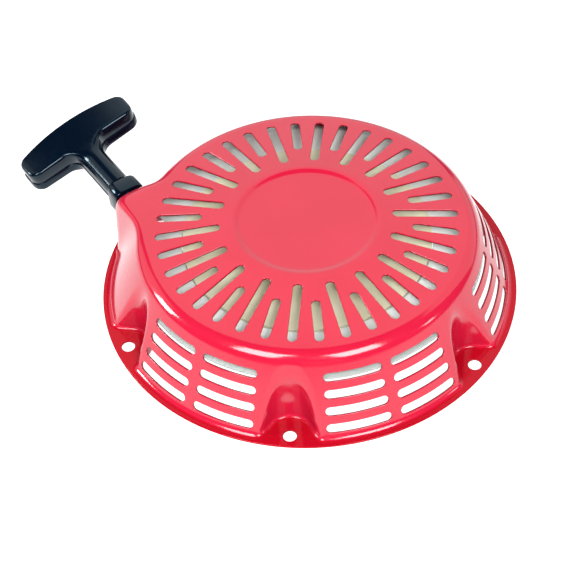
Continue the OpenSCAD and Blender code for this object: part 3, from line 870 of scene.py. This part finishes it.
# ------------------------------------------------------------------ materials
class Paint:
    """A material's node tree around one Principled shader, in millimetre-scaled object coordinates."""

    def __init__(self, name):
        self.material = bpy.data.materials.new(name)
        self.material.use_nodes = True
        self.tree = self.material.node_tree
        self.shader = self.tree.nodes["Principled BSDF"]
        place = self.node("ShaderNodeTexCoord").outputs["Object"]
        self.spot = self.vector("MULTIPLY", place, (1 / MM, 1 / MM, 1 / MM))

    def feed(self, socket, value):
        """Links a socket to another one or sets its value; None leaves it alone."""
        if isinstance(value, bpy.types.NodeSocket):
            self.tree.links.new(value, socket)
        elif value is not None:
            socket.default_value = value

    def node(self, kind, *inputs, named=None, **settings):
        """Adds a node; inputs are values or sockets in order, and named ones go by the socket's name."""
        made = self.tree.nodes.new(kind)
        for key, value in settings.items():
            setattr(made, key, value)
        for socket, value in zip(made.inputs, inputs):
            self.feed(socket, value)
        for key, value in (named or {}).items():
            self.feed(made.inputs[key], value)
        return made

    def noise(self, scale, detail=3.0, rough=0.5, spot=None):
        """Noise between 0 and 1; scale is in bumps per millimetre."""
        return self.node("ShaderNodeTexNoise", named={
            "Vector": spot or self.spot, "Scale": scale, "Detail": detail, "Roughness": rough}).outputs[0]

    def math(self, operation, *values):
        return self.node("ShaderNodeMath", *values, operation=operation).outputs[0]

    def vector(self, operation, *values):
        return self.node("ShaderNodeVectorMath", *values, operation=operation).outputs[0]

    def plus(self, a, b):
        return self.math("ADD", a, b)

    def minus(self, a, b):
        return self.math("SUBTRACT", a, b)

    def times(self, a, b):
        return self.math("MULTIPLY", a, b)

    def xyz(self):
        """The place's three coordinates in millimetres."""
        return self.node("ShaderNodeSeparateXYZ", self.spot).outputs

    def radius(self):
        """Distance from the crank axis in millimetres."""
        x, y, _ = self.xyz()
        return self.math("SQRT", self.plus(self.times(x, x), self.times(y, y)))

    def turn(self):
        """Angle about the crank axis in radians."""
        x, y, _ = self.xyz()
        return self.math("ARCTAN2", y, x)

    def between(self, value, low, high, start=0.0, end=1.0):
        """The value's place between low and high, moved to between start and end."""
        return self.node("ShaderNodeMapRange", value, low, high, start, end).outputs[0]

    def mix(self, share, a, b):
        """A colour between a and b, each a socket or its red, green and blue."""
        made = self.node("ShaderNodeMix", data_type="RGBA")
        for key, value in (("Factor", share), ("A", a), ("B", b)):
            socket = next(s for s in made.inputs if s.name == key and s.enabled)
            self.feed(socket, (*value, 1) if isinstance(value, tuple) else value)
        return next(s for s in made.outputs if s.enabled)

    def bump(self, height, distance, strength=1.0):
        """Relief: height runs from 0 to 1 and distance is its depth in metres."""
        return self.node("ShaderNodeBump", named={
            "Height": height, "Distance": distance, "Strength": strength}).outputs[0]

    def set(self, **values):
        """Sets the shader's inputs; an underscore stands for a space in a name."""
        for key, value in values.items():
            self.feed(self.shader.inputs[key.replace("_", " ")], value)


def red_enamel():
    """Gloss red powder coat: slight orange peel and slow drift of depth. The flat of the flange is painted
    darker and given less shine, as painted shade, and the slots' cut edges are painted dark, as painted
    shade.
    """
    p = Paint("red_enamel")
    height = p.xyz()[2]
    # heights in millimetres over which the flange's painted shade fades out
    low, high = SHEET / MM + 0.1, SHEET / MM + 0.8
    drift = p.between(p.noise(0.03, 2), 0.3, 0.7)
    coat = p.mix(drift, (0.266, 0.0038, 0.0160), (0.284, 0.0048, 0.0190))
    # painted shade: the flat of the flange gets a darker red
    coat = p.mix(p.between(height, low, high), (0.215, 0.0012, 0.006), coat)
    # painted shade: the marked faces of the slots' cut edges get a dark red
    cut = p.node("ShaderNodeAttribute", attribute_name="cut_edge_shade").outputs["Fac"]
    p.set(Base_Color=p.mix(cut, coat, (0.10, 0.0012, 0.005)))
    # painted shade: the flat of the flange also reflects less
    p.set(Specular_IOR_Level=p.between(height, low, high, 0.12, 0.5))
    p.set(Roughness=p.between(p.noise(0.8, 4), 0.3, 0.7, 0.10, 0.15))
    p.set(IOR=1.5)
    p.set(Normal=p.bump(p.noise(0.45, 2), 0.015 * MM, 0.5))
    return p.material


def black_plastic():
    """Blue-black moulded plastic with a soft shine and light handling marks."""
    p = Paint("black_plastic")
    drift = p.between(p.noise(0.08, 3), 0.3, 0.7)
    p.set(Base_Color=p.mix(drift, (0.0001, 0.0010, 0.0034), (0.0002, 0.0015, 0.0048)))
    marks = p.vector("MULTIPLY", p.spot, (0.2, 1.6, 0.4))
    p.set(Roughness=p.between(p.noise(0.9, 5, 0.7, marks), 0.35, 0.75, 0.12, 0.2))
    p.set(IOR=1.38, Specular_Tint=(0.6, 0.86, 1.0, 1.0))
    p.set(Normal=p.bump(p.noise(3.0, 2), 0.012 * MM, 0.5))
    return p.material


def cream_nylon():
    """Natural nylon: slightly see-through, with faint flow marks from moulding."""
    p = Paint("cream_nylon")
    flow = p.between(p.noise(0.05, 4, 0.6), 0.3, 0.7)
    p.set(Base_Color=p.mix(flow, (0.42, 0.41, 0.27), (0.52, 0.52, 0.38)))
    p.set(Roughness=p.between(p.noise(0.4, 3), 0.3, 0.7, 0.34, 0.5))
    p.set(Subsurface_Weight=0.15, Subsurface_Radius=(1.0, 0.95, 0.8), Subsurface_Scale=2 * MM)
    p.set(Normal=p.bump(p.noise(1.2, 3), 0.03 * MM, 0.4))
    return p.material


def pale_plastic():
    """Satin off-white moulding: fine streaks run outwards from the crank axis, and its outer margin is
    painted grey as painted shade.
    """
    # where the painted shade of the outer margin starts and is full, in millimetres from the crank axis
    shade_from_r, shade_full_r = 84.0, 86.5
    streaks_in_a_radian = 60.0
    p = Paint("pale_plastic")
    across = p.node("ShaderNodeCombineXYZ", p.times(p.turn(), streaks_in_a_radian), 0.0, 0.0).outputs[0]
    streaks = p.noise(1.0, 3, 0.6, across)
    tone = p.plus(p.times(streaks, 0.6), p.times(p.noise(0.08, 3), 0.4))
    plastic = p.mix(p.between(tone, 0.3, 0.7), (0.50, 0.54, 0.51), (0.60, 0.64, 0.60))
    # painted shade: the colour turns grey over the outer margin
    p.set(Base_Color=p.mix(p.between(p.radius(), shade_from_r, shade_full_r), plastic, (0.24, 0.26, 0.245)))
    p.set(Roughness=p.between(streaks, 0.3, 0.7, 0.24, 0.36))
    p.set(Subsurface_Weight=0.5, Subsurface_Radius=(1.0, 1.0, 1.0), Subsurface_Scale=2 * MM)
    p.set(Normal=p.bump(streaks, 0.02 * MM, 0.4))
    return p.material


def plated_steel(name, dark, light, rough, grain=0.5):
    """Plated or bare steel with mottled tone and fine relief; grain is in bumps per millimetre."""
    p = Paint(name)
    p.set(Base_Color=p.mix(p.between(p.noise(grain, 5, 0.6), 0.3, 0.7), dark, light))
    p.set(Metallic=1.0, Roughness=p.between(p.noise(grain * 2, 4), 0.3, 0.7, rough - 0.06, rough + 0.08))
    p.set(Normal=p.bump(p.noise(grain * 4, 3), 0.02 * MM, 0.5))
    return p.material


def turned_steel():
    """Steel turned on a lathe: fine rings about the crank axis, about three in a millimetre."""
    p = Paint("turned_steel")
    along = p.plus(p.radius(), p.xyz()[2])
    rings = p.math("SINE", p.plus(p.times(along, 18.0), p.times(p.noise(0.6), 3.0)))
    p.set(Base_Color=p.mix(p.between(p.noise(0.3, 3), 0.3, 0.7), (0.46, 0.46, 0.46), (0.62, 0.61, 0.60)))
    p.set(Metallic=1.0, Roughness=p.between(rings, -1.0, 1.0, 0.22, 0.36))
    p.set(Normal=p.bump(p.between(rings, -1.0, 1.0), 0.02 * MM, 0.5))
    return p.material


def braided_rope(straight):
    """Braided nylon, two sets of strands crossing, on the straight rope along x or on the coil."""
    coil_start_r, coil_mean_r, coil_pitch = 56.3, 48.0, 5.15
    strands, lay = 8.0, 2.6
    p = Paint("braided_rope_straight" if straight else "braided_rope_coil")
    x, y, z = p.xyz()
    up = p.minus(z, ROPE_Z / MM)
    if straight:
        side = p.minus(y, ROPE_Y / MM)
        along = x
    else:
        turn = p.turn()
        wound = p.times(p.minus(turn, math.pi / 2), coil_pitch / (2 * math.pi))
        side = p.plus(p.minus(p.radius(), coil_start_r), wound)
        layer = p.math("ROUND", p.math("DIVIDE", side, coil_pitch))
        side = p.minus(side, p.times(layer, coil_pitch))
        along = p.times(turn, coil_mean_r)
    angle = p.times(p.math("ARCTAN2", up, side), strands)
    pitch = p.times(along, lay)
    one = p.math("SINE", p.plus(angle, pitch))
    two = p.math("SINE", p.minus(angle, pitch))
    weave = p.between(p.times(one, two), -1.0, 1.0)
    fuzz = p.noise(4.0, 4, 0.7)
    # painted shade: the weave's colour is darker where its relief is low, in the grooves between strands
    p.set(Base_Color=p.mix(weave, (0.42, 0.40, 0.35), (0.82, 0.80, 0.74)))
    p.set(Roughness=0.75, Sheen_Weight=0.3)
    p.set(Normal=p.bump(p.plus(weave, p.times(fuzz, 0.3)), 0.25 * MM, 0.8))
    return p.material


def dress(piece, material):
    """Gives a piece one material."""
    piece.data.materials.clear()
    piece.data.materials.append(material)


def soften(piece, width, angle=35):
    """Small rounded edges on a CAD node, as on a real moulding or stamping."""
    weld = piece.modifiers.new("weld", "WELD")
    weld.merge_threshold = 0.002 * MM
    bevel = piece.modifiers.new("bevel", "BEVEL")
    bevel.width = width
    bevel.segments = 2
    bevel.limit_method = "ANGLE"
    bevel.angle_limit = math.radians(angle)
    bevel.use_clamp_overlap = True
    bevel.harden_normals = True


# ------------------------------------------------------------------ studio
CAMERA_AZIMUTH = 147.06
CAMERA_ELEVATION = 47.76
CAMERA_DISTANCE = 0.8712
CAMERA_LENS = 103.86
# small turns of the camera away from the origin
CAMERA_YAW = math.radians(-0.734)
CAMERA_PITCH = math.radians(0.161)
CAMERA_ROLL = math.radians(2.473)

# the floor glows so that it comes out white, less so far away; distances are in millimetres
FLOOR_SIZE = 3.0
FLOOR_GLOW = 1.0
FAR_GLOW = 0.25
GLOW_FULL = 420.0
GLOW_END = 1000.0
WORLD_LIGHT = 0.3
WORLD_TINT = (0.10, 0.30, 0.60, 1)
SQUARE = ((-1, -1), (1, -1), (1, 1), (-1, 1))

# name, azimuth, elevation, distance, width, height and strength of each glowing panel
PANELS = (
    ("back_box", 180, 37, 2.2, 1.75, 2.55, 1.7),
    ("left_box", -37, 52, 1.9, 0.66, 0.92, 19.0),
    ("right_box", 30, 49, 1.9, 0.7, 0.86, 19.0),
    ("side_box", 71, 21, 1.9, 0.2, 0.3, 14.0),
    ("right_wall", 130, 33, 2.2, 1.72, 2.3, 1.5),
    ("left_wall", -118, 28, 2.2, 0.9, 1.6, 1.3),
    ("low_left_box", -95, 24, 1.9, 0.44, 0.6, 36.0),
)
# name, azimuth, elevation, distance, size and power of each lamp
LAMPS = (
    ("key_light", 6, 46, 1.5, 0.45, 19.0),
    ("front_fill", 6, 17, 1.8, 0.8, 19.0),
)


def toward(azimuth, elevation):
    """Unit direction at an azimuth, anticlockwise from the camera's, and an elevation, in degrees."""
    a, e = math.radians(CAMERA_AZIMUTH + azimuth), math.radians(elevation)
    return Vector((math.cos(e) * math.cos(a), math.cos(e) * math.sin(a), math.sin(e)))


def add_camera():
    """The camera at the photograph's viewing angle."""
    eye = toward(0, CAMERA_ELEVATION) * CAMERA_DISTANCE
    ahead = -eye.normalized()
    right = ahead.cross(Vector((0, 0, 1))).normalized()
    up = right.cross(ahead)
    level = Matrix((right, up, -ahead))
    aim = Matrix.Rotation(CAMERA_ROLL, 3, "Z") @ Matrix.Rotation(CAMERA_PITCH, 3, "X")
    aim = aim @ Matrix.Rotation(CAMERA_YAW, 3, "Y") @ level
    camera = bpy.data.objects.new("camera", bpy.data.cameras.new("camera"))
    camera.data.lens = CAMERA_LENS
    camera.data.sensor_width = 36
    camera.data.clip_start = 0.05
    camera.data.clip_end = 20
    camera.matrix_world = Matrix.Translation(eye) @ aim.transposed().to_4x4()
    bpy.context.scene.collection.objects.link(camera)
    bpy.context.scene.camera = camera


def panel(name, azimuth, elevation, distance, width, height, strength):
    """A flat glowing panel that faces the object from a direction."""
    spot = toward(azimuth, elevation) * distance
    place = Matrix.Translation(spot) @ spot.to_track_quat("Z", "Y").to_matrix().to_4x4()
    corners = [place @ Vector((x * width / 2, y * height / 2, 0)) for x, y in SQUARE]
    piece = add_mesh(name, corners, [(0, 3, 2, 1)], None)
    p = Paint(name)
    p.set(Base_Color=(0, 0, 0, 1), Specular_IOR_Level=0.0)
    p.set(Emission_Color=(1, 1, 1, 1), Emission_Strength=strength)
    dress(piece, p.material)


def add_floor():
    """A pale floor that glows enough to look white."""
    corners = [(x * FLOOR_SIZE, y * FLOOR_SIZE, -0.1 * MM) for x, y in SQUARE]
    floor = add_mesh("floor", corners, [(0, 1, 2, 3)], None)
    p = Paint("pale_floor")
    p.set(Base_Color=p.mix(p.between(p.noise(0.01, 3), 0.3, 0.7), (0.29, 0.29, 0.29), (0.31, 0.31, 0.31)))
    p.set(Roughness=0.9, Specular_IOR_Level=0.0, Emission_Color=(1, 1, 1, 1))
    away = p.node("ShaderNodeVectorMath", p.spot, operation="LENGTH").outputs["Value"]
    p.set(Emission_Strength=p.between(away, GLOW_FULL, GLOW_END, FLOOR_GLOW, FAR_GLOW))
    dress(floor, p.material)


def soft_light(name, azimuth, elevation, distance, size, power):
    """A lamp that lights the object but isn't mirrored in it, so the gloss shows only the panels."""
    lamp = bpy.data.lights.new(name, "AREA")
    lamp.shape = "DISK"
    lamp.size = size
    lamp.energy = power
    spot = toward(azimuth, elevation) * distance
    placed = bpy.data.objects.new(name, lamp)
    placed.matrix_world = Matrix.Translation(spot) @ spot.to_track_quat("Z", "Y").to_matrix().to_4x4()
    placed.visible_glossy = False
    bpy.context.scene.collection.objects.link(placed)


def add_studio():
    """World, floor, panels and lamps."""
    world = bpy.data.worlds.new("world")
    world.use_nodes = True
    sky = world.node_tree.nodes["Background"]
    sky.inputs["Color"].default_value = WORLD_TINT
    sky.inputs["Strength"].default_value = WORLD_LIGHT
    bpy.context.scene.world = world
    bpy.context.scene.view_settings.view_transform = "Standard"
    add_floor()
    for row in PANELS:
        panel(*row)
    for row in LAMPS:
        soft_light(*row)


# ------------------------------------------------------------------ build
def dress_cad_nodes(lead_rope):
    """Materials and small rounded edges for the CAD nodes that stay."""
    looks = (
        (cream_nylon(), ("reel",)),
        (pale_plastic(), ("air_guide",)),
        (turned_steel(), ("spindle_post",)),
        (plated_steel("zinc_plate", (0.50, 0.51, 0.52), (0.68, 0.68, 0.66), 0.34),
         ("spindle_bracket", "thrust_washer", "grip_insert")),
        (plated_steel("bright_wire", (0.55, 0.55, 0.56), (0.72, 0.72, 0.73), 0.2, 1.0),
         ("ratchet_spring_a", "ratchet_spring_b", "friction_spring")),
        (plated_steel("pressed_steel", (0.26, 0.26, 0.27), (0.42, 0.42, 0.42), 0.42),
         ("ratchet_a", "ratchet_b")),
        (plated_steel("yellow_zinc", (0.50, 0.40, 0.16), (0.70, 0.60, 0.30), 0.3), ("setting_screw",)),
        (plated_steel("guide_plate", (0.48, 0.46, 0.40), (0.66, 0.63, 0.54), 0.36), ("ratchet_guide",)),
        (plated_steel("blued_spring", (0.06, 0.07, 0.10), (0.16, 0.17, 0.20), 0.3), ("mainspring",)),
        (braided_rope(straight=False), ("rope_coil", "rope_reel_knot")),
        (lead_rope, ("rope_handle_knot",)),
    )
    for material, names in looks:
        for name in names:
            dress(frame["nodes"][name], material)
    edges = {"reel": 0.3, "spindle_bracket": 0.15, "spindle_post": 0.3, "ratchet_a": 0.25,
             "ratchet_b": 0.25, "ratchet_guide": 0.15, "setting_screw": 0.2}
    for name, width in edges.items():
        soften(frame["nodes"][name], width * MM)


def build():
    """Every piece of the object with its material."""
    shell = build_case()
    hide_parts("starter_case")
    dress(shell, red_enamel())
    plastic = black_plastic()
    for piece in (build_grip(), build_rope_guide()):
        dress(piece, plastic)
    rope = build_rope_lead()
    lead_rope = braided_rope(straight=True)
    dress(rope, lead_rope)
    dress_cad_nodes(lead_rope)


build()
add_camera()
add_studio()
